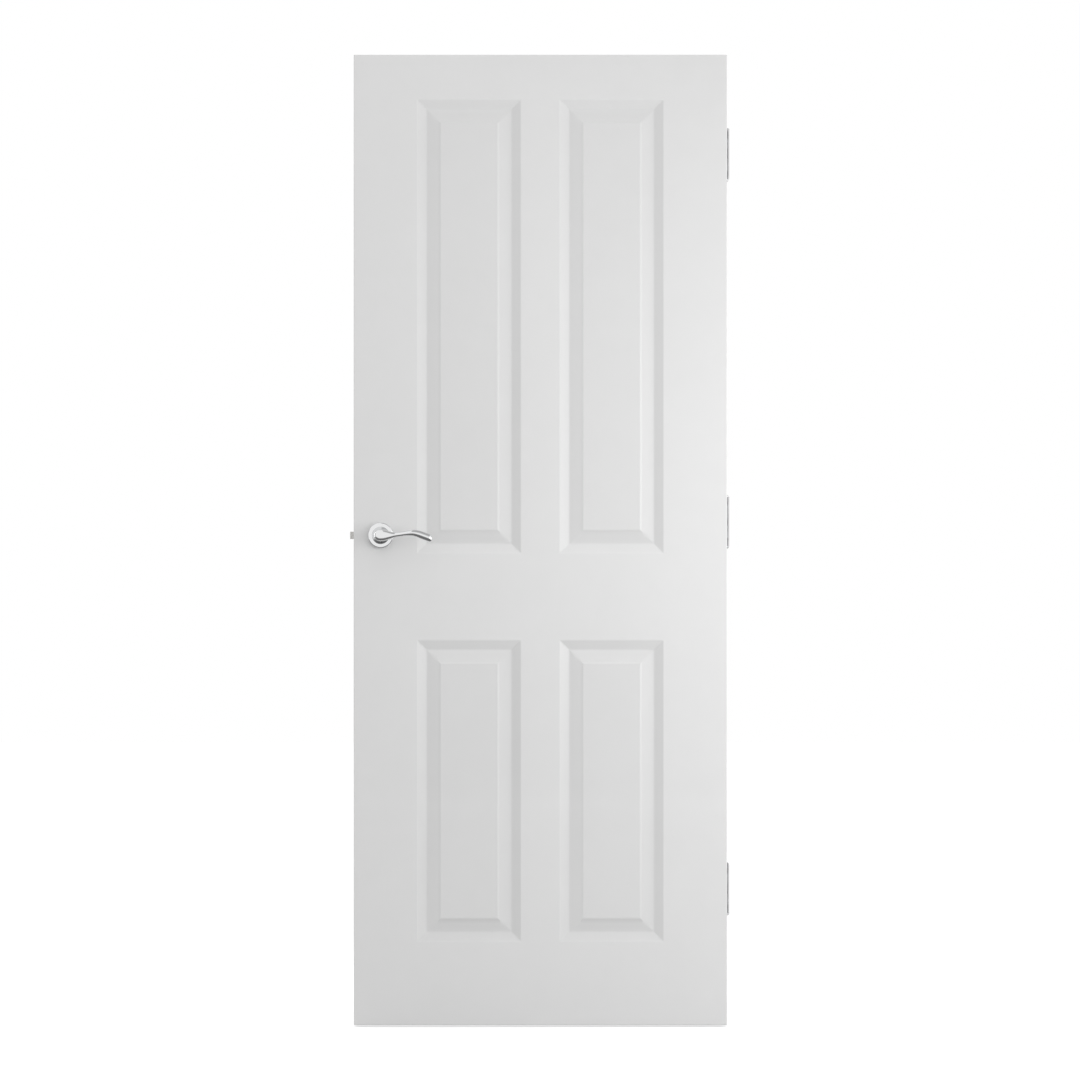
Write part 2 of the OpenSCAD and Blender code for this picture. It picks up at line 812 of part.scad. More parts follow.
module lever_grub_screws() {
    color(steel) {
        front_side() grub_screw();
        rear_side() grub_screw();
    }
}

module front_lever_clip() {
    color(steel) front_side() lever_clip();
}

module rear_lever_clip() {
    color(steel) rear_side() lever_clip();
}

module front_neck_bush() {
    color(nylon) front_side() neck_bush();
}

module rear_neck_bush() {
    color(nylon) rear_side() neck_bush();
}

module front_rose_base() {
    color(steel) front_side() rose_base(through_bolt_r + fit_gap);
}

module rear_rose_base() {
    color(steel) rear_side() rose_base(sleeve_r + fit_gap);
}

module front_rose_cover() {
    color(chrome) front_side() rose_cover();
}

module rear_rose_cover() {
    color(chrome) rear_side() rose_cover();
}

// Hinge pieces are drawn round the pin's axis, from the bottom of the hinge up
module at_hinge(i) {
    translate([pin_x, pin_y, hinge_zs[i]]) children();
}

// Where each hinge leaf is let into the edge of the door
module hinge_recesses() {
    for (i = [0:len(hinge_zs) - 1])
        at_hinge(i) translate([-hinge_gap / 2 - hinge_t, -hinge_w - fit_gap, -fit_gap])
            cube([hinge_t + over, hinge_w, hinge_h + 2 * fit_gap]);
}

module hinge_screw_places() {
    for (i = [0:len(hinge_zs) - 1], hole = door_leaf_holes)
        at_hinge(i) translate([-hinge_gap / 2, hole.x, hole.y]) rotate([0, -90, 0]) children();
}

// The leaf on the door's side of the pin: a plate, and knuckles from the given place on, every second one
module hinge_leaf(first, holes) {
    plate_x = -hinge_gap / 2 - hinge_t;
    near = knuckle_r + knuckle_gap;
    difference() {
        union() {
            translate([plate_x, -hinge_w, 0]) cube([hinge_t, hinge_w - near, hinge_h]);
            for (k = [first:2:knuckle_count - 1]) {
                low = k * knuckle_h + (k == 0 ? 0 : knuckle_gap / 2);
                high = (k + 1) * knuckle_h - (k == knuckle_count - 1 ? 0 : knuckle_gap / 2);
                translate([plate_x, -near - over, low]) cube([hinge_t, near + over, high - low]);
                translate([0, 0, low]) cylinder(r = knuckle_r, h = high - low);
            }
        }
        translate([0, 0, -over]) cylinder(r = pin_r + run_gap, h = hinge_h + 2 * over);
        for (hole = holes)
            translate([-hinge_gap / 2, hole.x, hole.y]) rotate([0, -90, 0]) {
                screw_sink();
                translate([0, 0, -over]) cylinder(r = hinge_hole_r, h = hinge_t + 2 * over);
            }
    }
}

// A pin through all the knuckles, with a round tip at each end
module hinge_pin() {
    translate([0, 0, -pin_tip_gap]) cylinder(r = pin_r, h = hinge_h + 2 * pin_tip_gap);
    for (end = [0, 1])
        translate([0, 0, end * hinge_h]) mirror([0, 0, 1 - end]) translate([0, 0, pin_tip_gap])
            rotate_extrude() intersection() {
                circle(r = pin_tip_r);
                square(pin_tip_r);
            }
}

module top_hinge_door_leaf() {
    color(steel) at_hinge(0) hinge_leaf(1, door_leaf_holes);
}

module middle_hinge_door_leaf() {
    color(steel) at_hinge(1) hinge_leaf(1, door_leaf_holes);
}

module bottom_hinge_door_leaf() {
    color(steel) at_hinge(2) hinge_leaf(1, door_leaf_holes);
}

module top_hinge_frame_leaf() {
    color(steel) at_hinge(0) mirror([1, 0, 0]) hinge_leaf(0, frame_leaf_holes);
}

module middle_hinge_frame_leaf() {
    color(steel) at_hinge(1) mirror([1, 0, 0]) hinge_leaf(0, frame_leaf_holes);
}

module bottom_hinge_frame_leaf() {
    color(steel) at_hinge(2) mirror([1, 0, 0]) hinge_leaf(0, frame_leaf_holes);
}

module top_hinge_pin() {
    color(steel) at_hinge(0) hinge_pin();
}

module middle_hinge_pin() {
    color(steel) at_hinge(1) hinge_pin();
}

module bottom_hinge_pin() {
    color(steel) at_hinge(2) hinge_pin();
}

module hinge_screws() {
    color(steel) hinge_screw_places() countersunk_screw(screw_l);
}

front_skin();
rear_skin();
lock_stile();
hinge_stile();
top_rail();
bottom_rail();
lock_block();
honeycomb_core();
top_hinge_door_leaf();
middle_hinge_door_leaf();
bottom_hinge_door_leaf();
top_hinge_frame_leaf();
middle_hinge_frame_leaf();
bottom_hinge_frame_leaf();
top_hinge_pin();
middle_hinge_pin();
bottom_hinge_pin();
hinge_screws();
latch_case();
latch_forend();
forend_screws();
latch_bolt();
latch_spring();
latch_follower();
spindle();
front_lever();
rear_lever();
lever_grub_screws();
front_lever_clip();
rear_lever_clip();
front_neck_bush();
rear_neck_bush();
front_rose_base();
rear_rose_base();
front_rose_cover();
rear_rose_cover();
rose_bolts();
rose_bolt_sleeves();
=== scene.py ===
"""Looks of a white moulded four-panel door leaf with chrome lever handles, a latch and butt hinges."""

import json
import math

import bpy
import numpy as np
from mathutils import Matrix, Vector
from mathutils.geometry import tessellate_polygon


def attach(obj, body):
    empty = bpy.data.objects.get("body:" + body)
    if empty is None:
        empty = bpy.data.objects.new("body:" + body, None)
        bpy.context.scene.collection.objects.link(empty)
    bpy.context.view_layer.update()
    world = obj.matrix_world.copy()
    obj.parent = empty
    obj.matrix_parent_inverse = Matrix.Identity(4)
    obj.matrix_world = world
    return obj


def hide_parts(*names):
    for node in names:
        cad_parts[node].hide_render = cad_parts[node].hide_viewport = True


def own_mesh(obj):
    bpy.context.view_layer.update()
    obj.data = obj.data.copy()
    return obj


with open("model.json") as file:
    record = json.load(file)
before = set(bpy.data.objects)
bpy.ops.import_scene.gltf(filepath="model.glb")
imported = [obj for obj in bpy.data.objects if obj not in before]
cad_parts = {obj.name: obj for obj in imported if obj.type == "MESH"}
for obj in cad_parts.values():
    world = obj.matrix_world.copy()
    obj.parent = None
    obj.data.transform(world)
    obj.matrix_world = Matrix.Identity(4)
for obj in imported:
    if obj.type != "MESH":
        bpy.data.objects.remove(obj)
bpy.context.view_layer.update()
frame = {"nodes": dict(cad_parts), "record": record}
scene = bpy.context.scene
MM = 0.001

# Sizes of the leaf, in millimetres, as the solids have them; a panel is left edge, foot and height
LEAF_W, LEAF_H, LEAF_T = 762.0, 1981.0, 35.0
SKIN_T, EDGE_BEVEL = 3.2, 1.0
PANEL_W = 212.0
PANELS = [(x, z, h) for x in (-251.5, 39.5) for z, h in ((171.0, 615.0), (963.5, 926.0))]
COVE_W, BEVEL_W, SHOULDER_W = 19.5, 25.0, 3.5
COVE_DEPTH, SHOULDER_DEPTH, FIELD_DEPTH = 6.2, 1.9, 0.8
SPINDLE_X, HANDLE_Z = -326.0, 1000.0
SPINDLE_HOLE_R, BOLT_HOLE_R, BOLT_OFF = 9.0, 3.2, 19.0
HINGE_ZS, HINGE_H, HINGE_T, LET_IN = (1729.0, 977.0, 225.0), 102.0, 2.2, 0.2

# How paint rounds the skins: widths of the turns, and the insets where the easy one comes and goes
CRISP_TURN, EASY_TURN, EDGE_TURN = 3.0, 6.0, 0.5
ARRIS_END, GROOVE_START, GROOVE_END = (3.0, 7.0), (12.0, 16.0), (23.5, 28.0)
PANEL_PLACES, EDGE_PLACES = np.arange(-10.0, 60.0, 0.02), np.arange(-2.0, 6.0, 0.01)

# Painted shade at insets from a panel's edge, and painted shadow on low and high panels' feet
SHADE_PLACES = [0.0, 2.0, 15.0, 20.0, 30.0, 44.0, 49.0]
SHADE_UPRIGHT = [0.0, 0.9, 1.0, 1.0, 0.8, 0.75, 0.6]
SHADE_LEVEL = [0.0, 0.3, 0.35, 0.5, 0.8, 0.75, 0.6]
FOOT_SHADOW_PLACES = [0.0, 3.0, 15.0, 20.0, 36.0, 40.5, 44.0, 47.0]
FOOT_SHADOW = [0.0, 0.6, 0.6, 0.35, 0.35, 1.35, 1.35, 0.0]
LOW_FOOT_SHADOW, HIGH_FOOT_SHADOW = 1.0, 0.35

# Lines of the skins' grid, in from a panel's edge and from the leaf's, and half the bored patch's size
PANEL_LINES = np.array([
    -2.5, -1.2, -0.7, -0.35, 0.0, 0.35, 0.7, 1.2, 1.8, 2.8, 4.4, 6.6, 9.2, 11.8, 13.6, 15.2,
    16.5, 17.6, 18.6, 19.5, 20.4, 21.4, 22.6, 24.2, 26.5, 30.0, 36.0, 42.5, 43.4, 44.0, 44.5,
    45.0, 45.6, 46.3, 47.0, 47.5, 48.0, 48.5, 49.2, 50.5,
])
EDGE_LINES = np.array([0.0, 0.12, 0.25, 0.5, 0.75, 0.9, 1.05, 1.3, 2.5])
PATCH_X, PATCH_Z = 24.0, 23.5

# Sizes of a lever, in millimetres; its own X runs along it, Y up and Z out of the face
LEVER_L, LEVER_OUT, ARM_OUT, TIP_BACK = 106.0, 37.0, 5.0, 3.0
HEAD_R, NECK_R, FILLET_R = 12.2, 9.0, 3.0
WAIST_H, BLADE_H, WAIST_T, BLADE_T = 10.0, 16.0, 11.0, 9.0
CREST_RISE, TIP_FALL, TIP_R = 5.0, 14.0, 6.89
NECK_FROM, SOCKET_W, SOCKET_DEPTH = 0.25, 8.0, 26.0
GRUB_R, GRUB_OUT, GRUB_FROM = 2.5, 17.0, 4.2
CLIP_FROM, CLIP_T, CLIP_GROOVE = 0.5, 1.0, 0.8
CUT_PAST = 1.0

# The lever's front and the places along it between which its line and its section change
HEAD_FRONT, HEAD_POWER, ROUND_POWER, BLADE_POWER = 10.5, 3.6, 2.0, 1.7
RISE_FROM, RISE_TO = 0.18 * LEVER_L, 0.65 * LEVER_L
FALL_FROM, FALL_TO = 63.6, 118.72
ARM_TO, BACK_FROM = 0.33 * LEVER_L, 0.65 * LEVER_L
SLIM_FROM, SLIM_TO = 0.02 * LEVER_L, 0.33 * LEVER_L
SWELL_FROM, SWELL_TO = 0.45 * LEVER_L, 0.82 * LEVER_L

# Sizes of a rose, in millimetres; its ring, rim and cone are closer to the photograph than the solid's
ROSE_R, ROSE_H, RIM_R, ROSE_WALL = 26.0, 9.0, 2.4, 1.0
RING_W, CROWN, CROWN_SWELL, RING_EASE = 8.5, 0.4, 0.05, 0.7
DISH_R, DISH_H, DISH_SIDE, DISH_EASE, LIP_R = 10.46, 6.8, 6.5, 0.25, 0.3

# Sizes of the latch's spring, in millimetres
COIL_FROM, COIL_TO, COIL_R, COIL_TURNS, WIRE_R = -368.44, -351.56, 4.8, 7, 0.5

# How finely round pieces are divided
SPINDLE_HOLE_SIDES, BOLT_HOLE_SIDES, ROSE_SIDES = 64, 32, 144
LEVER_SIDES, NECK_SIDES, GRUB_SIDES = 144, 96, 40
HEAD_RINGS, ARM_RINGS, TIP_RINGS = 26, 110, 16
TURN_STEPS, WIRE_SIDES = 48, 16


class Value:
    """A shader socket that can stand in sums: each operator adds one Math node."""

    def __init__(self, finish, socket):
        self.finish, self.socket = finish, socket

    def sum(self, operation, a, b):
        return self.finish.node("ShaderNodeMath", {"operation": operation}, {0: a, 1: b})

    def __add__(self, other):
        return self.sum("ADD", self, other)

    def __radd__(self, other):
        return self.sum("ADD", other, self)

    def __sub__(self, other):
        return self.sum("SUBTRACT", self, other)

    def __rsub__(self, other):
        return self.sum("SUBTRACT", other, self)

    def __mul__(self, other):
        return self.sum("MULTIPLY", self, other)

    def __rmul__(self, other):
        return self.sum("MULTIPLY", other, self)


class Finish:
    """One material, or the world, and the nodes that make it."""

    def __init__(self, name, owner=None):
        self.owner = owner or bpy.data.materials.new(name)
        self.owner.use_nodes = True
        self.tree = self.owner.node_tree
        self.tree.nodes.clear()

    def node(self, kind, settings=None, sockets=None, out=0):
        """Adds a node, sets its settings and then its sockets by value or link, and gives an output."""
        made = self.tree.nodes.new(kind)
        for name, value in (settings or {}).items():
            if name == "stops":
                ramp = made.color_ramp.elements
                while len(ramp) < len(value):
                    ramp.new(1.0)
                for stop, (at, colour) in zip(ramp, value):
                    stop.position, stop.color = at, (*colour, 1.0)
            else:
                setattr(made, name, value)
        for name, value in (sockets or {}).items():
            if isinstance(value, Value):
                self.tree.links.new(value.socket, made.inputs[name])
            else:
                made.inputs[name].default_value = value
        return Value(self, made.outputs[out]) if len(made.outputs) else None

    def place(self, scale=(1.0, 1.0, 1.0)):
        """Object coordinates in metres, stretched by a scale along each axis."""
        spot = self.node("ShaderNodeTexCoord", out="Object")
        return self.node("ShaderNodeMapping", sockets={"Vector": spot, "Scale": scale})

    def depth_place(self):
        """How far a place lies behind the middle of the leaf, in metres."""
        return self.node("ShaderNodeSeparateXYZ", sockets={"Vector": self.place()}, out="Y")

    def noise(self, where, scale, detail=2.0):
        """Soft noise from 0 to 1, its scale in cells to the metre."""
        return self.node("ShaderNodeTexNoise", sockets={"Vector": where, "Scale": scale, "Detail": detail})

    def tint(self, share, low, high):
        """A colour that runs from one to another as a value runs from 0 to 1."""
        return self.node("ShaderNodeValToRGB", {"stops": [(0.0, low), (1.0, high)]}, {"Fac": share})

    def bump(self, height, depth):
        """Normals of a relief whose height runs from 0 to 1 over a depth in metres."""
        return self.node("ShaderNodeBump", sockets={"Height": height, "Distance": depth, "Strength": 1.0})

    def ray(self, kind):
        """1 for rays of a kind, be it Camera, Glossy or Transmission, and 0 for others."""
        return self.node("ShaderNodeLightPath", out=f"Is {kind} Ray")

    def glow(self, colour, strength=1.0):
        """Plain light of a colour."""
        return self.node("ShaderNodeEmission", sockets={"Color": colour, "Strength": strength})

    def mixed(self, share, first, second):
        """One shader where a share is 0 and another where it is 1."""
        return self.node("ShaderNodeMixShader", sockets={0: share, 1: first, 2: second})

    def ends_in(self, shader):
        """Ends the material in a shader."""
        self.node("ShaderNodeOutputMaterial", sockets={"Surface": shader})
        return self.owner

    def surface(self, **sockets):
        """Ends the material in one Principled shader; its sockets are named with _ for each space."""
        return self.ends_in(self.node("ShaderNodeBsdfPrincipled", sockets={
            name.replace("_", " "): value for name, value in sockets.items()}))


def contrast(value, low=0.3, high=0.7):
    """Stretches a noise's usual range, from low to high, over 0 to 1."""
    return value.finish.node("ShaderNodeMapRange", {"clamp": True}, {
        "Value": value, "From Min": low, "From Max": high})


def skin_paint():
    """Satin white paint with a sprayed ripple on a pressed skin, and painted shade in the hollows."""
    f = Finish("satin_white_paint")
    where = f.place()
    broad = contrast(f.noise(where, scale=2.3))
    cloud = contrast(f.noise(where, scale=19.0, detail=3.0))
    ripple = f.noise(where, scale=420.0)
    dust = f.noise(where, scale=1900.0, detail=1.0)
    # The hollow attribute paints shade into the hollows and shadow at the panels' feet
    hollow = f.node("ShaderNodeAttribute", {"attribute_name": "hollow"}, out="Fac")
    tone = 0.89 + 0.065 * broad + 0.045 * cloud - 0.25 * hollow
    return f.surface(
        Base_Color=f.tint(tone, (0.600, 0.600, 0.599), (0.800, 0.800, 0.799)),
        Roughness=0.36 + 0.07 * cloud + 0.03 * dust,
        Normal=f.bump(0.8 * ripple + 0.2 * dust, depth=0.00003),
    )


def edge_paint():
    """The same white brushed along the timber edges, where grain and brush show as fine ridges."""
    f = Finish("brushed_white_paint")
    along = f.place((1.0, 1.0, 0.035))
    grain = f.noise(along, scale=520.0, detail=3.0)
    brush = f.noise(along, scale=1700.0, detail=1.0)
    cloud = contrast(f.noise(f.place(), scale=14.0))
    return f.surface(
        Base_Color=f.tint(0.7 * cloud + 0.3 * grain, (0.760, 0.760, 0.756), (0.790, 0.790, 0.787)),
        Roughness=0.40 + 0.10 * brush,
        Normal=f.bump(0.7 * grain + 0.3 * brush, depth=0.00006),
    )


def sawn_timber():
    """Sawn softwood inside the leaf: growth rings cut lengthwise, with saw marks across."""
    f = Finish("sawn_softwood")
    along = f.place((1.0, 1.0, 0.06))
    rings = f.node("ShaderNodeTexWave", {"wave_type": "RINGS", "rings_direction": "Z"}, {
        "Vector": along, "Scale": 38.0, "Distortion": 6.0, "Detail": 3.0, "Detail Scale": 2.0,
    }, "Fac")
    fibre = f.noise(along, scale=900.0)
    saw = f.noise(f.place((0.1, 0.1, 1.0)), scale=700.0, detail=1.0)
    return f.surface(
        Base_Color=f.tint(0.7 * rings + 0.3 * fibre, (0.42, 0.26, 0.12), (0.62, 0.44, 0.25)),
        Roughness=0.72 + 0.12 * fibre,
        Normal=f.bump(0.5 * fibre + 0.5 * saw, depth=0.0002),
    )


def brown_card():
    """Kraft card: flecked fibres over an uneven brown."""
    f = Finish("brown_card")
    fleck = contrast(f.noise(f.place((1.0, 1.0, 3.0)), scale=1400.0), 0.35, 0.65)
    cloud = f.noise(f.place(), scale=60.0, detail=3.0)
    return f.surface(
        Base_Color=f.tint(0.5 * fleck + 0.5 * cloud, (0.30, 0.19, 0.10), (0.44, 0.30, 0.17)),
        Roughness=0.85 + 0.1 * fleck,
        Normal=f.bump(fleck, depth=0.00008),
    )


def plated(name, low, high, gloss, spread, depth, stretch=(1.0, 1.0, 1.0)):
    """Plated metal: polishing lines drawn out along one axis, and a faint bloom in tone and gloss."""
    f = Finish(name)
    lines = f.noise(f.place(stretch), scale=1500.0)
    bloom = contrast(f.noise(f.place(), scale=45.0, detail=3.0))
    return f.surface(
        Base_Color=f.tint(0.5 * lines + 0.5 * bloom, low, high),
        Metallic=1.0,
        Roughness=gloss + spread * (0.6 * lines + 0.4 * bloom),
        Normal=f.bump(lines, depth),
    )


def white_nylon():
    """Moulded white nylon, a little waxy, with a fine moulded texture."""
    f = Finish("white_nylon")
    grain = f.noise(f.place(), scale=2600.0)
    return f.surface(
        Base_Color=f.tint(f.noise(f.place(), scale=90.0), (0.74, 0.74, 0.70), (0.80, 0.80, 0.76)),
        Roughness=0.42 + 0.12 * grain,
        Normal=f.bump(grain, depth=0.00002),
    )


finishes = {
    "painted_skin": skin_paint(),
    "painted_timber": edge_paint(),
    "bare_timber": sawn_timber(),
    "card": brown_card(),
    "hinge_steel": plated("satin_plated_steel", (0.76, 0.76, 0.77), (0.84, 0.84, 0.85),
                          gloss=0.11, spread=0.08, depth=0.000012, stretch=(1.0, 1.0, 0.03)),
    "screw_steel": plated("bright_zinc", (0.56, 0.57, 0.58), (0.68, 0.68, 0.69),
                          gloss=0.20, spread=0.16, depth=0.000008),
    "latch_steel": plated("satin_nickel", (0.52, 0.51, 0.49), (0.62, 0.61, 0.59),
                          gloss=0.24, spread=0.14, depth=0.00001, stretch=(1.0, 1.0, 0.04)),
    "bolt_steel": plated("polished_nickel", (0.66, 0.65, 0.63), (0.74, 0.73, 0.71),
                         gloss=0.12, spread=0.10, depth=0.000006, stretch=(0.04, 1.0, 1.0)),
    "inner_steel": plated("zinc_plate", (0.48, 0.48, 0.49), (0.60, 0.60, 0.61),
                          gloss=0.30, spread=0.20, depth=0.00001),
    "spring_steel": plated("spring_steel", (0.24, 0.24, 0.25), (0.34, 0.34, 0.35),
                           gloss=0.28, spread=0.15, depth=0.000005),
    "polished_chrome": plated("polished_chrome", (0.78, 0.785, 0.79), (0.82, 0.825, 0.83),
                              gloss=0.045, spread=0.035, depth=0.0000006),
    "nylon": white_nylon(),
}


def shown(name, data):
    """A new object of the scene for a mesh, a lamp or a camera."""
    made = bpy.data.objects.new(name, data)
    scene.collection.objects.link(made)
    return made


def piece(name, points, faces, slot, body, *nodes, crease=40.0, hollow=None):
    """A piece from points in metres: smooth but for edges sharper than crease, riding on a body."""
    mesh = bpy.data.meshes.new(name)
    mesh.from_pydata(points, [], faces)
    # A share of painted shade for each point, which the paint reads as the hollow attribute
    if hollow is not None:
        shares = mesh.attributes.new("hollow", "FLOAT", "POINT")
        shares.data.foreach_set("value", hollow.astype(np.float32))
    mesh.validate()
    mesh.shade_smooth()
    mesh.set_sharp_from_angle(angle=math.radians(crease))
    mesh.materials.append(finishes[slot])
    made = shown(name, mesh)
    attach(made, body)
    if nodes:
        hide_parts(*nodes)
    return made


def ease(a, low, high):
    """Smooth step: t squared times (3 less 2t), with t the share of the way from low to high."""
    t = np.clip((a - low) / (high - low), 0.0, 1.0)
    return t * t * (3.0 - 2.0 * t)


def softened(at, height, width):
    """A profile rounded over: the mean of its heights in a bell-shaped window about each place."""
    step = at[1] - at[0]
    window = np.hanning(2 * int(width / step / 2) + 3)
    padded = np.pad(height, len(window) // 2, mode="edge")
    return np.convolve(padded, window / window.sum(), mode="valid")


def panel_depth(inset):
    """Depth at an inset from a panel's edge: straight cove, bevel and shoulder, then a flat field.

    Its turns are rounded over, at the arris and in the groove more than at the shoulder.
    """
    at = PANEL_PLACES
    cove = COVE_DEPTH * at / COVE_W
    bevel = COVE_DEPTH + (SHOULDER_DEPTH - COVE_DEPTH) * (at - COVE_W) / BEVEL_W
    shoulder = SHOULDER_DEPTH + (FIELD_DEPTH - SHOULDER_DEPTH) * (at - COVE_W - BEVEL_W) / SHOULDER_W
    ends = np.cumsum([0.0, COVE_W, BEVEL_W, SHOULDER_W])
    depth = np.select([at < end for end in ends], [0.0 * at, cove, bevel, shoulder], FIELD_DEPTH)
    crisp, easy = softened(at, depth, CRISP_TURN), softened(at, depth, EASY_TURN)
    eased = 1.0 - ease(at, *ARRIS_END) + ease(at, *GROOVE_START) * (1.0 - ease(at, *GROOVE_END))
    return np.interp(inset, at, crisp + (easy - crisp) * eased)


def panel_painted_shade(inset, level, foot):
    """Painted shade at an inset, on straight runs between shares set from arris to field.

    Coves that lie level get less painted shade than upright ones. The slope at a panel's foot
    gets painted shadow by the share that foot gives, most of all under the field's edge.
    """
    upright, lying = (np.interp(inset, SHADE_PLACES, painted_shade) for painted_shade in (SHADE_UPRIGHT, SHADE_LEVEL))
    return np.where(level, lying, upright) + foot * np.interp(inset, FOOT_SHADOW_PLACES, FOOT_SHADOW)


def edge_depth(inset):
    """Depth of the eased outer edge: a bevel as wide as it is deep, its two corners rounded over."""
    bevel = np.clip(EDGE_BEVEL - EDGE_PLACES, 0.0, EDGE_BEVEL)
    return np.interp(inset, EDGE_PLACES, softened(EDGE_PLACES, bevel, EDGE_TURN))


def ruled_lines(length, starts, ends, extra):
    """Places of the grid's lines: close where a moulding or edge turns, none where the face is flat."""
    lines = [EDGE_LINES, length - EDGE_LINES, extra]
    lines += [start + PANEL_LINES for start in starts] + [end - PANEL_LINES for end in ends]
    return np.unique(np.round(np.concatenate(lines), 4))


def skin_relief(gx, gz):
    """Depth and painted shade of a skin's panels at places measured from its lower left corner.

    Each is a profile of the place's inset, the least of its distances from a panel's four edges,
    which makes the mitres.
    """
    depth, painted_shade = np.zeros_like(gx), np.zeros_like(gx)
    for x, z, h in PANELS:
        left, up = gx - x - LEAF_W / 2, gz - z
        across, along = np.minimum(left, PANEL_W - left), np.minimum(up, z + h - gz)
        inset, level = np.minimum(across, along), along < across
        foot_shadow = LOW_FOOT_SHADOW if z + h < HANDLE_Z else HIGH_FOOT_SHADOW
        depth += panel_depth(inset)
        painted_shade += panel_painted_shade(inset, level, foot_shadow * (level & (up == along)))
    return depth, painted_shade


def circle(r, sides, x, z):
    """Points of a circle about a place: the cosine and sine of even turns times its radius."""
    turn = np.linspace(0.0, 2.0 * np.pi, sides, endpoint=False)
    return np.stack([x + r * np.cos(turn), z + r * np.sin(turn)], 1)


def cell_triangles(cells, depth):
    """Two triangles to a cell of the grid, parted along the diagonal whose ends differ more in depth."""
    a, b, c, d = cells.T
    first = (np.abs(depth[a] - depth[c]) >= np.abs(depth[b] - depth[d]))[:, None]
    return np.concatenate([np.where(first, np.stack([a, b, c], 1), np.stack([a, b, d], 1)),
                           np.where(first, np.stack([a, c, d], 1), np.stack([b, c, d], 1))])


def bored_triangles(loops):
    """Triangles of a flat face inside its first loop and outside the others, all wound one way."""
    filled = np.array(tessellate_polygon([[Vector((*p, 0.0)) for p in loop] for loop in loops]))
    corners = np.concatenate(loops)[filled]
    (ux, uz), (vx, vz) = (corners[:, 1] - corners[:, 0]).T, (corners[:, 2] - corners[:, 0]).T
    turned = ux * vz - uz * vx < 0
    filled[turned] = filled[turned][:, ::-1]
    return filled


def walled(sheet, count):
    """A sheet of triangles made a closed shell, the back's points numbered after the front's count.

    The back has the same triangles turned round, and a wall stands on each side that only one
    triangle has.
    """
    sides = np.concatenate([sheet[:, [0, 1]], sheet[:, [1, 2]], sheet[:, [2, 0]]])
    there, back = sides[:, 0] * count + sides[:, 1], sides[:, 1] * count + sides[:, 0]
    rim = sides[~np.isin(there, back)]
    return np.concatenate([sheet, sheet[:, ::-1] + count,
                           np.stack([rim[:, 1], rim[:, 0], rim[:, 0] + count], 1),
                           np.stack([rim[:, 1], rim[:, 0] + count, rim[:, 1] + count], 1)])


def moulded_skin(name, side):
    """One pressed skin, a height field over a grid of ruled lines; side is -1 in front, 1 at the rear.

    The depth at a place is that of the panels plus the eased edge's. The back is the panels' depth
    one thickness further in, and walls join the two along the outline, the hinge notches, which
    only the rear has, and the handle's holes.
    """
    notched = HINGE_ZS if side > 0 else ()
    notches = [(LEAF_W - HINGE_T, z - LET_IN, z + HINGE_H + LET_IN) for z in notched]
    hole_x = SPINDLE_X + LEAF_W / 2
    patch_x = [hole_x - PATCH_X, hole_x + PATCH_X]
    patch_z = [HANDLE_Z - PATCH_Z, HANDLE_Z + PATCH_Z]
    columns = sorted({x + LEAF_W / 2 for x, _, _ in PANELS})
    rows = sorted({(z, h) for _, z, h in PANELS})
    xs = ruled_lines(LEAF_W, columns, [x + PANEL_W for x in columns],
                     patch_x + [x for x, _, _ in notches])
    zs = ruled_lines(LEAF_H, [z for z, _ in rows], [z + h for z, h in rows],
                     patch_z + [end for _, *ends in notches for end in ends])
    gx, gz = np.meshgrid(xs, zs, indexing="ij")
    hollow, painted_shade = skin_relief(gx, gz)
    edge = edge_depth(np.minimum(np.minimum(gx, LEAF_W - gx), np.minimum(gz, LEAF_H - gz)))
    outer, inner = (hollow + edge).ravel(), (hollow + SKIN_T).ravel()

    mid_x, mid_z = np.meshgrid((xs[1:] + xs[:-1]) / 2, (zs[1:] + zs[:-1]) / 2, indexing="ij")
    kept = ~((mid_x > patch_x[0]) & (mid_x < patch_x[1])
             & (mid_z > patch_z[0]) & (mid_z < patch_z[1]))
    for x, low, high in notches:
        kept &= ~((mid_x > x) & (mid_z > low) & (mid_z < high))
    index = np.arange(gx.size).reshape(gx.shape)
    cells = np.stack([index[:-1, :-1], index[1:, :-1], index[1:, 1:], index[:-1, 1:]], -1)[kept]

    (left, right), (low, high) = np.searchsorted(xs, patch_x), np.searchsorted(zs, patch_z)
    border = np.concatenate([index[left:right, low], index[right, low:high],
                             index[right:left:-1, high], index[left, high:low:-1]])
    holes = [circle(SPINDLE_HOLE_R, SPINDLE_HOLE_SIDES, hole_x, HANDLE_Z)]
    holes += [circle(BOLT_HOLE_R, BOLT_HOLE_SIDES, hole_x, HANDLE_Z + off)
              for off in (-BOLT_OFF, BOLT_OFF)]
    plan = np.concatenate([np.stack([gx.ravel(), gz.ravel()], 1), *holes])
    count, bored = len(plan), len(plan) - gx.size
    numbers = np.concatenate([border, np.arange(gx.size, count)])
    patch = numbers[bored_triangles([plan[border], *holes])]
    triangles = walled(np.concatenate([cell_triangles(cells, outer), patch]), count)

    depths = np.append(outer, np.zeros(bored)), np.append(inner, np.full(bored, SKIN_T))
    points = np.concatenate([
        np.stack([plan[:, 0] - LEAF_W / 2, side * (LEAF_T / 2 - depth), plan[:, 1]], 1)
        for depth in depths
    ])
    # Painted shade at each point, front and back; none on the bored patch
    painted_shading = np.tile(np.append(painted_shade, np.zeros(bored)), 2)
    piece(name, points * MM, triangles[:, ::-side].tolist(), "painted_skin", "door",
          name.replace("moulded", "skin"), crease=60.0, hollow=painted_shading)


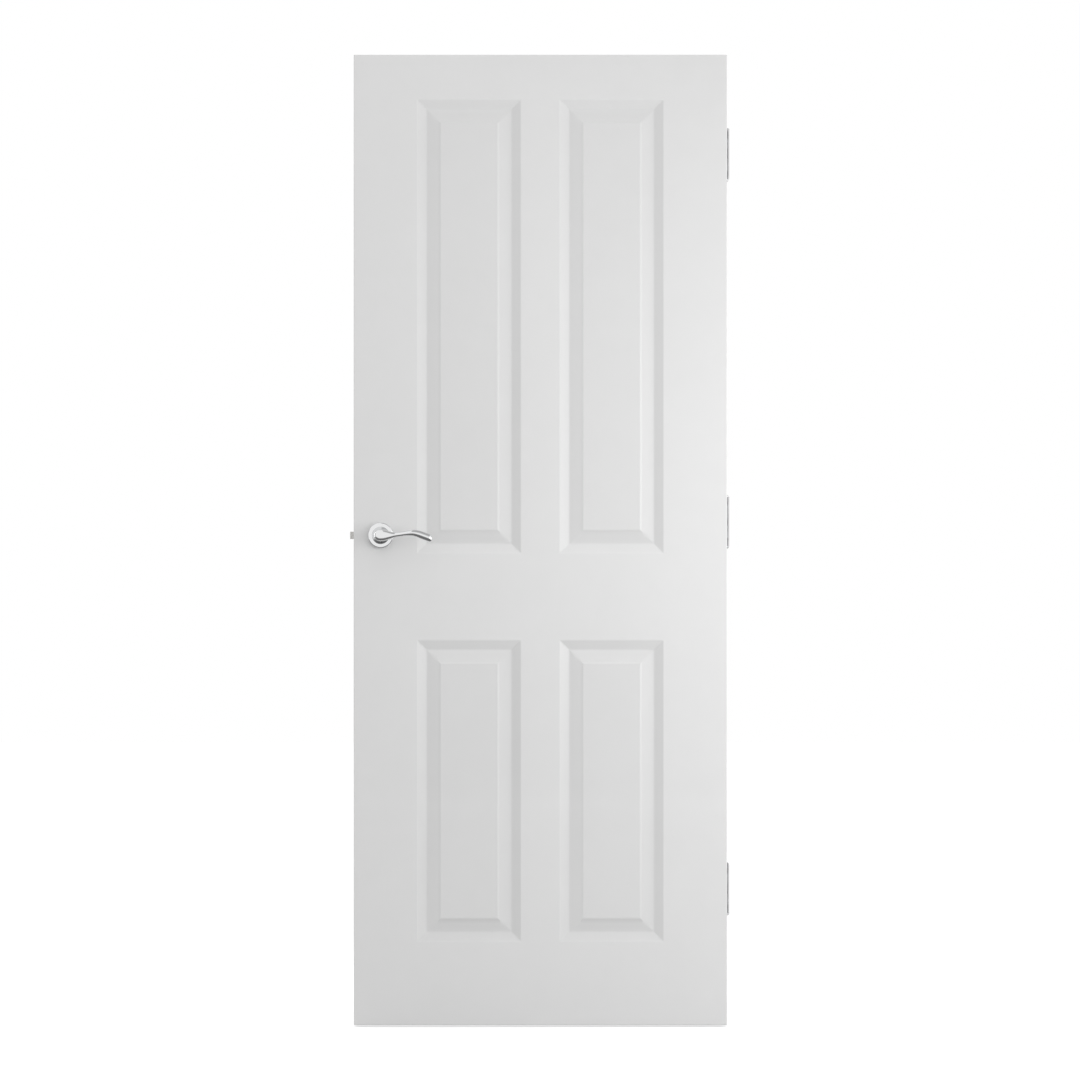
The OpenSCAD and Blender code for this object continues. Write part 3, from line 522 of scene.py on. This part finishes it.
def revolved(profile, sides):
    """A closed profile of radius and height turned about the Z axis; its last point joins its first."""
    turn = np.linspace(0.0, 2.0 * np.pi, sides, endpoint=False)
    r, h = np.asarray(profile, float).T
    points = np.stack([np.outer(r, np.cos(turn)), np.outer(r, np.sin(turn)),
                       np.outer(h, np.ones(sides))], -1)
    index = np.arange(len(r) * sides).reshape(len(r), sides)
    along, around = np.roll(index, -1, 0), np.roll(index, -1, 1)
    faces = np.stack([index, around, np.roll(around, -1, 0), along], -1).reshape(-1, 4)
    return points.reshape(-1, 3), faces


def arc(centre, r, start, stop, steps):
    """Points of an arc between two angles in degrees."""
    turn = np.radians(np.linspace(start, stop, steps))
    return np.stack([centre[0] + r * np.cos(turn), centre[1] + r * np.sin(turn)], 1)


def on_face(points, side):
    """Moves a handle's own points to the front face, side -1, or the rear one, side 1, in metres."""
    x, y, z = points.T
    return np.stack([x + SPINDLE_X, side * (z + LEAF_T / 2), y + HANDLE_Z], 1) * MM


def eased_corner(before, corner, after, reach, steps=9):
    """A corner eased on a parabola between two points at the same reach from it.

    With t the share of the way, it is (1 less t) squared of the start, twice t times (1 less t) of
    the corner and t squared of the end.
    """
    before, corner, after = (np.asarray(p, float) for p in (before, corner, after))
    start, stop = (corner + reach * (p - corner) / np.linalg.norm(p - corner)
                   for p in (before, after))
    t = np.linspace(0.0, 1.0, steps)[:, None]
    return (1.0 - t) ** 2 * start + 2.0 * t * (1.0 - t) * corner + t ** 2 * stop


def rose_cover(name, side):
    """A pressed cover turned from one profile: an edge on an arc, a crowned ring, a cone to the neck."""
    rim = (ROSE_R - RIM_R, ROSE_H - CROWN - RIM_R)
    rim_to = 90.0 - math.degrees(math.atan2(CROWN, RING_W - RIM_R))
    edge = arc(rim, RIM_R, 0.0, rim_to, steps=30)
    ring_in, dish_out = (ROSE_R - RING_W, ROSE_H), (ROSE_R - RING_W - DISH_SIDE, DISH_H)
    crown = np.linspace(edge[-1], ring_in, 8)[1:-1] + np.array([[0.0, CROWN_SWELL]])
    profile = np.concatenate([
        [(ROSE_R, 0.0)],
        edge,
        crown,
        eased_corner(crown[-1], ring_in, dish_out, RING_EASE),
        eased_corner(ring_in, dish_out, (DISH_R, DISH_H), DISH_EASE),
        arc((DISH_R + LIP_R, DISH_H - LIP_R), LIP_R, 90.0, 180.0, steps=6),
        [(DISH_R, DISH_H - ROSE_WALL),
         (dish_out[0] + ROSE_WALL / 2, DISH_H - ROSE_WALL),
         (ring_in[0] + ROSE_WALL / 2, ROSE_H - ROSE_WALL)],
        arc(rim, RIM_R - ROSE_WALL, rim_to, 0.0, steps=20),
        [(ROSE_R - ROSE_WALL, 0.0)],
    ])
    points, faces = revolved(profile, ROSE_SIDES)
    piece(name, on_face(points, side), faces[:, ::-side].tolist(), "polished_chrome", "door",
          name.replace("turned", "rose_cover"), crease=50.0)


def lever_loft():
    """A loft of rings along the lever.

    At a place along it, the middle line rises by the crest's smooth step less the tip's, and stands
    out by the arm's smooth step less the tip's; each half size runs by smooth steps from the ball
    head to the waist and on to the blade. The head and the tip close as the square root of one less
    the square of the share of their radius. A ring's back is half an ellipse. Its front swells as
    one less a power of the share of the way to the ring's edge, all to one over that power, which
    is high on the flat-fronted head and low on the blade, where it leaves a soft ridge.
    """
    head = -HEAD_R * np.cos(np.radians(np.linspace(0.0, 90.0, HEAD_RINGS)[1:]))
    arm = np.linspace(0.0, LEVER_L - TIP_R, ARM_RINGS)[1:]
    tip = LEVER_L - TIP_R + TIP_R * np.sin(np.radians(np.linspace(0.0, 90.0, TIP_RINGS)[1:-1]))
    a = np.concatenate([head, arm, tip])
    rise = CREST_RISE * ease(a, RISE_FROM, RISE_TO) - TIP_FALL * ease(a, FALL_FROM, FALL_TO)
    out = LEVER_OUT + ARM_OUT * ease(a, 0.0, ARM_TO) - TIP_BACK * ease(a, BACK_FROM, LEVER_L)
    slim, swell = ease(a, SLIM_FROM, SLIM_TO), ease(a, SWELL_FROM, SWELL_TO)
    past = np.where(a < 0.0, a / HEAD_R, np.maximum(a - LEVER_L + TIP_R, 0.0) / TIP_R)
    close = np.sqrt(np.maximum(1.0 - past ** 2, 0.0))
    half_h = close * (HEAD_R + (WAIST_H / 2 - HEAD_R) * slim + (BLADE_H - WAIST_H) / 2 * swell)
    half_t = close * (HEAD_R + (WAIST_T / 2 - HEAD_R) * slim + (BLADE_T - WAIST_T) / 2 * swell)
    front_t = HEAD_FRONT + (WAIST_T / 2 - HEAD_FRONT) * slim + (BLADE_T - WAIST_T) / 2 * swell
    power = HEAD_POWER + (ROUND_POWER - HEAD_POWER) * slim + (BLADE_POWER - ROUND_POWER) * swell
    power = power[:, None]
    turn = np.linspace(0.0, 2.0 * np.pi, LEVER_SIDES, endpoint=False)
    reach = np.outer(close, np.cos(turn))
    front = front_t[:, None] * (1.0 - (1.0 - reach ** 2) ** (power / 2.0)) ** (1.0 / power)
    back = np.outer(half_t, np.cos(turn))
    rings = np.stack([
        np.repeat(a[:, None], LEVER_SIDES, 1),
        rise[:, None] + np.outer(half_h, np.sin(turn)),
        out[:, None] + np.where(reach > 0.0, front, back),
    ], -1).reshape(-1, 3)
    poles = np.array([[-HEAD_R, 0.0, LEVER_OUT],
                      [LEVER_L, CREST_RISE - TIP_FALL * ease(LEVER_L, FALL_FROM, FALL_TO),
                       LEVER_OUT + ARM_OUT - TIP_BACK]])
    index = np.arange(len(rings)).reshape(-1, LEVER_SIDES)
    around = np.roll(index, -1, 1)
    quads = np.stack([index[:-1], index[1:], around[1:], around[:-1]], -1).reshape(-1, 4)
    ends = [np.stack([index[0], around[0], np.full(LEVER_SIDES, len(rings))], 1),
            np.stack([around[-1], index[-1], np.full(LEVER_SIDES, len(rings) + 1)], 1)]
    return np.concatenate([rings, poles]), quads.tolist() + np.concatenate(ends).tolist()


def turned_bar(profile, sides):
    """A solid of revolution about Z with flat ends, its profile running up from the bottom end."""
    points, faces = revolved(profile, sides)
    walls = faces.reshape(len(profile), sides, 4)[:-1].reshape(-1, 4)
    index = np.arange(len(profile) * sides).reshape(-1, sides)
    return points, walls.tolist() + [index[0][::-1].tolist(), index[-1].tolist()]


def square_bar(corner_r, low, high):
    """A square bar along Z, its corners at a radius on the diagonals."""
    corner = np.radians([45.0, 135.0, 225.0, 315.0])
    plan = corner_r * np.stack([np.cos(corner), np.sin(corner)], 1)
    points = np.concatenate([np.column_stack([plan, np.full(4, z)]) for z in (low, high)])
    walls = [[i, (i + 1) % 4, (i + 1) % 4 + 4, i + 4] for i in range(4)]
    return points, [[3, 2, 1, 0], [4, 5, 6, 7]] + walls


def working_mesh(name, points, faces):
    """A mesh object that only serves to join or cut another."""
    mesh = bpy.data.meshes.new(name)
    mesh.from_pydata(np.asarray(points) * MM, [], faces)
    return shown(name, mesh)


def lever_shape():
    """The lever as one closed solid in its own frame: loft and neck, less the socket and grub hole.

    The neck is turned from a profile that swells into the ball head on a fillet, an arc that
    touches both.
    """
    body = working_mesh("lever_blank", *lever_loft())
    drop = math.sqrt((HEAD_R + FILLET_R) ** 2 - (NECK_R + FILLET_R) ** 2)
    fillet = arc((NECK_R + FILLET_R, LEVER_OUT - drop), FILLET_R, 180.0,
                 180.0 - math.degrees(math.asin(drop / (HEAD_R + FILLET_R))), steps=14)
    neck = [(NECK_R, NECK_FROM), (NECK_R, CLIP_FROM), (NECK_R - CLIP_GROOVE, CLIP_FROM),
            (NECK_R - CLIP_GROOVE, CLIP_FROM + CLIP_T), (NECK_R, CLIP_FROM + CLIP_T),
            (NECK_R, GRUB_OUT), *fillet.tolist(),
            (NECK_R, LEVER_OUT - HEAD_R / 2), (NECK_R / 2, LEVER_OUT)]
    hole = [(GRUB_R, GRUB_FROM), (GRUB_R, NECK_R + CUT_PAST)]
    hole_points, hole_faces = turned_bar(hole, GRUB_SIDES)
    x, y, z = hole_points.T
    tools = [
        ("UNION", *turned_bar(neck, NECK_SIDES)),
        ("DIFFERENCE", *square_bar(SOCKET_W / math.sqrt(2.0), NECK_FROM - CUT_PAST, SOCKET_DEPTH)),
        ("DIFFERENCE", np.stack([x, -z, y + GRUB_OUT], 1), hole_faces),
    ]
    for number, (operation, points, faces) in enumerate(tools):
        step = body.modifiers.new(f"step_{number}", "BOOLEAN")
        step.operation, step.solver = operation, "EXACT"
        step.object = working_mesh(f"lever_tool_{number}", points, faces)
    graph = bpy.context.evaluated_depsgraph_get()
    shape = bpy.data.meshes.new_from_object(body.evaluated_get(graph))
    for step in list(body.modifiers):
        bpy.data.objects.remove(step.object)
    bpy.data.objects.remove(body)
    points = np.empty(len(shape.vertices) * 3, np.float32)
    shape.vertices.foreach_get("co", points)
    return points.reshape(-1, 3).astype(float) / MM, [list(p.vertices) for p in shape.polygons]


def coil_spring(name):
    """The latch's spring: round wire whose middle goes round the X axis at one radius as it runs along it.

    Each ring of the wire lies in the plane of the axis and of its own turn, and the two ends are flat.
    """
    steps = TURN_STEPS * COIL_TURNS
    turn = np.linspace(0.0, 2.0 * np.pi * COIL_TURNS, steps + 1)[:, None]
    round_wire = np.linspace(0.0, 2.0 * np.pi, WIRE_SIDES, endpoint=False)[None, :]
    out = COIL_R + WIRE_R * np.cos(round_wire)
    along = np.linspace(COIL_FROM, COIL_TO, steps + 1)[:, None] + WIRE_R * np.sin(round_wire)
    points = np.stack([along, out * np.cos(turn), HANDLE_Z + out * np.sin(turn)], -1)
    index = np.arange((steps + 1) * WIRE_SIDES).reshape(-1, WIRE_SIDES)
    around = np.roll(index, -1, 1)
    walls = np.stack([index[:-1], index[1:], around[1:], around[:-1]], -1).reshape(-1, 4)
    faces = walls.tolist() + [index[0].tolist(), index[-1][::-1].tolist()]
    return piece(name, points.reshape(-1, 3) * MM, faces, "spring_steel", "door", "latch_spring")


for node in frame["nodes"].values():
    node.data.materials.clear()
for part in frame["record"]["subparts"]:
    frame["nodes"][part["node"]].data.materials.append(finishes[part["material_slot"]])

# The rear's pieces are mirror images of the front's, so their faces go round the other way
moulded_skin("front_moulded", -1)
moulded_skin("rear_moulded", 1)
lever_points, lever_faces = lever_shape()
for end, side in (("front", -1), ("rear", 1)):
    rose_cover(f"{end}_turned", side)
    piece(f"{end}_lever_cast", on_face(lever_points, side), [face[::-side] for face in lever_faces],
          "polished_chrome", "handle", f"{end}_lever")
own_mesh(coil_spring("latch_coil"))

scene.view_settings.view_transform = "Standard"

# The studio, in metres: the world's light, the floor's greys and reach, the lamps' aim, the camera
WHITE, BARE_LIGHT = (1.0, 1.0, 1.0, 1.0), 0.821
FLOOR_GREY, FLOOR_LIFT, FLOOR_MIRRORED = 0.54, 0.62, 0.25
FLOOR_NEAR, FLOOR_FAR, FLOOR_HALF, FLOOR_Z = 1.4, 5.0, 14.0, -0.004
LAMPS_LOOK_AT = (0.1, 0.0, 1.1)
FRAME_SIZE, CAMERA_OFF, CAMERA_X, SENSOR_MM = 2.2045, 10.0, -0.0008, 36.0

# White surroundings for what the camera and the chrome see, and an even pale light for the rest
scene.world = bpy.data.worlds.new("studio")
sky = Finish("studio", scene.world)
plain, white = (sky.node("ShaderNodeBackground", sockets={"Color": WHITE, "Strength": strength})
                for strength in (BARE_LIGHT, 1.0))
seen = sky.ray("Camera") + sky.ray("Glossy") + sky.ray("Transmission")
sky.node("ShaderNodeOutputWorld", sockets={"Surface": sky.mixed(seen, plain, white)})


def stage_card(name, points, finish):
    """A flat card of the studio, which is no part of the door."""
    mesh = bpy.data.meshes.new(name)
    mesh.from_pydata(points, [], [tuple(range(len(points)))])
    mesh.materials.append(finish)
    card = shown(name, mesh)
    return card


def fading(f, off, grey, near, far):
    """Light that goes from grey, up to near, to white, from far on, by a smooth step of a distance."""
    share = f.node("ShaderNodeMapRange", {"interpolation_type": "SMOOTHSTEP"}, {
        "Value": off, "From Min": near, "From Max": far})
    return f.glow(f.tint(share, (grey, grey, grey), WHITE[:3]))


# The floor is white but for shadows to the camera. To the metal it is grey behind the door, where
# a card would stand in the leaf's way.
pale = Finish("pale_floor")
matt = pale.node("ShaderNodeBsdfDiffuse", sockets={
    "Color": (FLOOR_GREY, FLOOR_GREY, FLOOR_GREY, 1.0)})
lifted = pale.node("ShaderNodeAddShader", sockets={0: matt, 1: pale.glow(WHITE, FLOOR_LIFT)})
before = pale.node("ShaderNodeMath", {"operation": "LESS_THAN"}, {0: pale.depth_place(), 1: 0.0})
away = pale.node("ShaderNodeVectorMath", {"operation": "LENGTH"}, {0: pale.place()}, "Value")
greyed = fading(pale, away + FLOOR_FAR * before, FLOOR_MIRRORED, FLOOR_NEAR, FLOOR_FAR)
mirrored = pale.mixed(pale.ray("Glossy"), matt, greyed)
corners = [(x * FLOOR_HALF, y * FLOOR_HALF, FLOOR_Z)
           for x, y in ((-1, -1), (1, -1), (1, 1), (-1, 1))]
stage_card("floor", corners, pale.ends_in(pale.mixed(pale.ray("Camera"), mirrored, lifted)))


def grey_card(name, points, grey, near, far, ends=("front", "rear")):
    """A card that only shows in the metal's reflections, before each face that it is for.

    It is grey near the leaf and white far off. Its points are given for the rear, and mirrored for
    the front.
    """
    tone = Finish(name)
    off = tone.node("ShaderNodeMath", {"operation": "ABSOLUTE"}, {0: tone.depth_place()})
    tone.ends_in(fading(tone, off, grey, near, far))
    for end in ends:
        side = -1 if end == "front" else 1
        card = stage_card(f"{end}_{name}", [(x, side * y, z) for x, y, z in points], tone.owner)
        card.visible_camera = card.visible_diffuse = card.visible_shadow = False
        card.visible_transmission = card.visible_volume_scatter = False


grey_card("low_card", [(-2.4, 0.06, 0.45), (1.6, 0.06, 0.45), (1.6, 3.0, 0.45), (-2.4, 3.0, 0.45)],
          grey=0.17, near=0.9, far=2.8, ends=("front",))
grey_card("high_card", [(-0.30, 0.06, 2.1), (0.9, 0.06, 2.1), (0.9, 2.8, 2.1), (-0.30, 2.8, 2.1)],
          grey=0.45, near=0.7, far=2.8)
grey_card("left_card", [(-1.9, 0.1, 0.2), (-1.9, 1.0, 0.2), (-1.9, 1.0, 1.9), (-1.9, 0.1, 1.9)],
          grey=0.30, near=0.5, far=1.0)


def lamp(name, at, size, power, mirrored=False):
    """A square soft lamp that looks at the leaf, and that the metal mirrors or not."""
    data = bpy.data.lights.new(name, "AREA")
    data.shape, data.size, data.energy = "SQUARE", size, power
    made = shown(name, data)
    made.location = at
    aim = Vector(LAMPS_LOOK_AT) - Vector(at)
    made.rotation_euler = aim.to_track_quat("-Z", "Y").to_euler()
    made.visible_glossy = mirrored


lamp("near_lamp", (1.32, -1.04, 1.07), size=1.1, power=10.4, mirrored=True)
lamp("far_lamp", (3.80, -0.59, 1.52), size=1.2, power=23.0)
lamp("high_lamp", (-0.35, -0.86, 2.23), size=0.8, power=0.7)
lamp("rear_lamp", (-1.30, 1.10, 1.20), size=1.1, power=10.0, mirrored=True)

# The camera looks straight at the front from far off, so that the leaf's sides stay hidden
camera = bpy.data.cameras.new("camera")
camera.sensor_width = SENSOR_MM
camera.lens = SENSOR_MM * CAMERA_OFF / FRAME_SIZE
scene.camera = shown("camera", camera)
scene.camera.location = (CAMERA_X, -LEAF_T * MM / 2 - CAMERA_OFF, LEAF_H * MM / 2)
scene.camera.rotation_euler = (math.radians(90.0), 0.0, 0.0)
